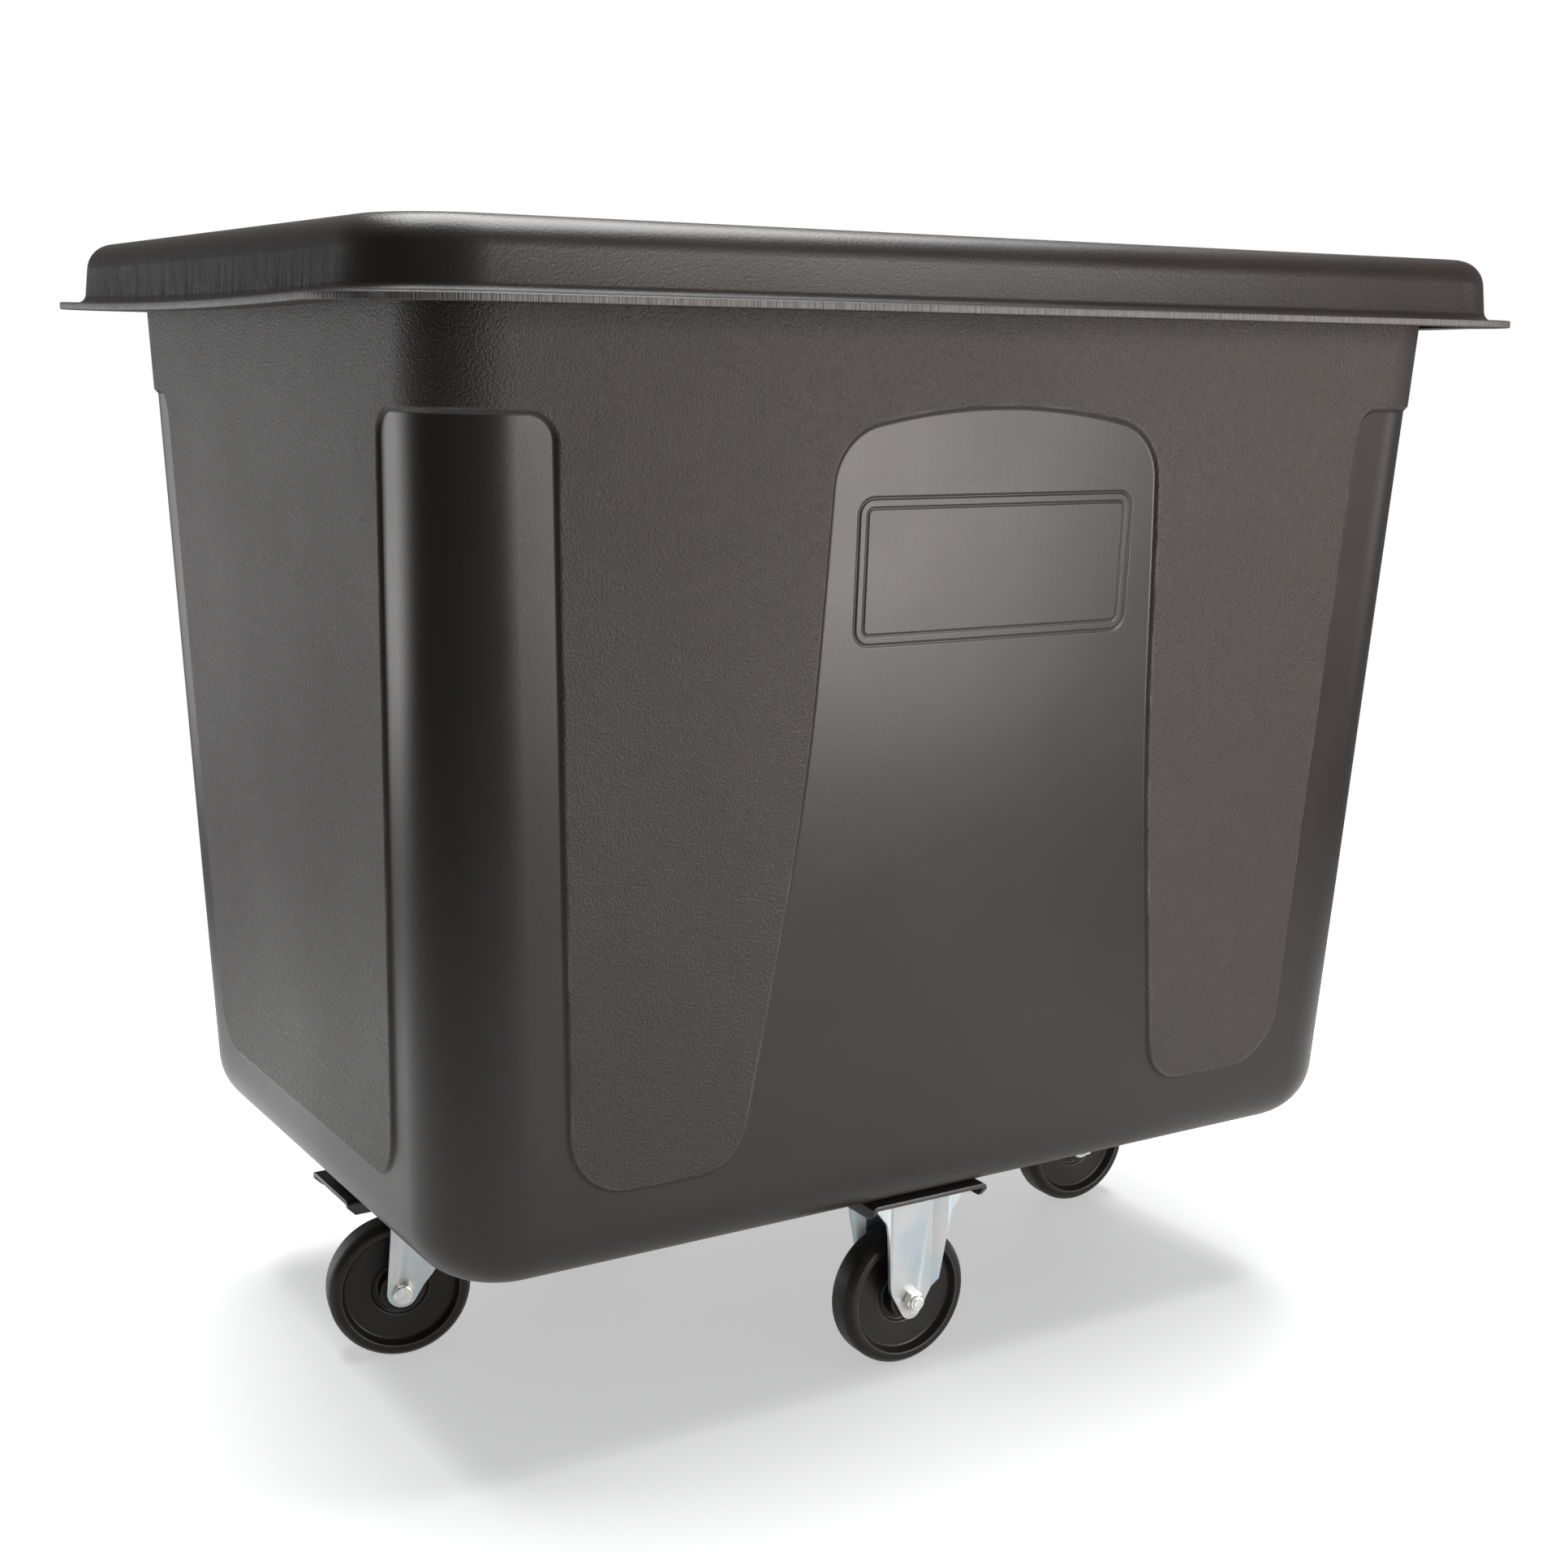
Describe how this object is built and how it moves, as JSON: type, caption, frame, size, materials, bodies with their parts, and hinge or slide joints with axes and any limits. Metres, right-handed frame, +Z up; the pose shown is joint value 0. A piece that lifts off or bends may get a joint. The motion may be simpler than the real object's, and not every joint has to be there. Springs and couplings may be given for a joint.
{
  "type": "cube truck",
  "caption": "Open-top cube truck: deep tapered plastic tub with a rolled rim, on a steel underframe with two fixed and two swivel casters in a diamond.",
  "frame": {"origin": "on the floor under the middle of the tub, at the centre of the overall bounding box's base", "axes": "+X along the length towards the right swivel caster, +Y across the width towards the rear fixed caster, +Z up"},
  "size_m": [1.118, 0.828, 0.975],
  "materials": {
    "tub_plastic": "moulded black polyethylene, leather grain on the raised areas and smoother on posts, centre panel and base",
    "channel_paint": "black satin paint on folded steel",
    "zinc_sheet": "bright blue-white zinc plate on pressed steel sheet",
    "zinc_hardware": "bright zinc plated fasteners",
    "bearing_steel": "polished bearing steel",
    "wheel_plastic": "satin black moulded wheel, tread slightly duller"
  },
  "bodies": {
    "truck": {"tub": "tub_plastic", "cross_channel": "channel_paint", "left_end_channel": "channel_paint", "right_end_channel": "channel_paint", "left_swivel_bolts": "zinc_hardware", "left_swivel_washers": "zinc_hardware", "left_swivel_nuts": "zinc_hardware", "left_swivel_plate": "zinc_sheet", "left_swivel_kingpin": "zinc_hardware", "left_swivel_lower_race": "zinc_hardware", "right_swivel_bolts": "zinc_hardware", "right_swivel_washers": "zinc_hardware", "right_swivel_nuts": "zinc_hardware", "right_swivel_plate": "zinc_sheet", "right_swivel_kingpin": "zinc_hardware", "right_swivel_lower_race": "zinc_hardware", "front_fixed_bolts": "zinc_hardware", "front_fixed_washers": "zinc_hardware", "front_fixed_nuts": "zinc_hardware", "front_fixed_fork": "zinc_sheet", "front_fixed_axle_sleeve": "zinc_hardware", "front_fixed_axle_bolt": "zinc_hardware", "front_fixed_axle_nut": "zinc_hardware", "rear_fixed_bolts": "zinc_hardware", "rear_fixed_washers": "zinc_hardware", "rear_fixed_nuts": "zinc_hardware", "rear_fixed_fork": "zinc_sheet", "rear_fixed_axle_sleeve": "zinc_hardware", "rear_fixed_axle_bolt": "zinc_hardware", "rear_fixed_axle_nut": "zinc_hardware"},
    "left_swivel": {"left_swivel_fork": "zinc_sheet", "left_swivel_upper_balls": "bearing_steel", "left_swivel_lower_balls": "bearing_steel", "left_swivel_axle_sleeve": "zinc_hardware", "left_swivel_axle_bolt": "zinc_hardware", "left_swivel_axle_nut": "zinc_hardware"},
    "left_swivel_roller": {"left_swivel_wheel": "wheel_plastic"},
    "right_swivel": {"right_swivel_fork": "zinc_sheet", "right_swivel_upper_balls": "bearing_steel", "right_swivel_lower_balls": "bearing_steel", "right_swivel_axle_sleeve": "zinc_hardware", "right_swivel_axle_bolt": "zinc_hardware", "right_swivel_axle_nut": "zinc_hardware"},
    "right_swivel_roller": {"right_swivel_wheel": "wheel_plastic"},
    "front_fixed_roller": {"front_fixed_wheel": "wheel_plastic"},
    "rear_fixed_roller": {"rear_fixed_wheel": "wheel_plastic"}
  },
  "joints": [
    {"name": "left_swivel_turn", "type": "hinge", "parent": "truck", "child": "left_swivel", "pos_m": [-0.35, 0, 0.12], "axis": [0, 0, 1], "continuous": true},
    {"name": "right_swivel_turn", "type": "hinge", "parent": "truck", "child": "right_swivel", "pos_m": [0.35, 0, 0.12], "axis": [0, 0, 1], "continuous": true},
    {"name": "left_swivel_wheel_spin", "type": "hinge", "parent": "left_swivel", "child": "left_swivel_roller", "pos_m": [-0.38028, 0.00666, 0.0635], "axis": [0.2147, 0.9767, 0], "continuous": true},
    {"name": "right_swivel_wheel_spin", "type": "hinge", "parent": "right_swivel", "child": "right_swivel_roller", "pos_m": [0.381, 0, 0.0635], "axis": [0, 1, 0], "continuous": true},
    {"name": "front_fixed_wheel_spin", "type": "hinge", "parent": "truck", "child": "front_fixed_roller", "pos_m": [0, -0.229, 0.0635], "axis": [0, 1, 0], "continuous": true},
    {"name": "rear_fixed_wheel_spin", "type": "hinge", "parent": "truck", "child": "rear_fixed_roller", "pos_m": [0, 0.229, 0.0635], "axis": [0, 1, 0], "continuous": true}
  ]
}
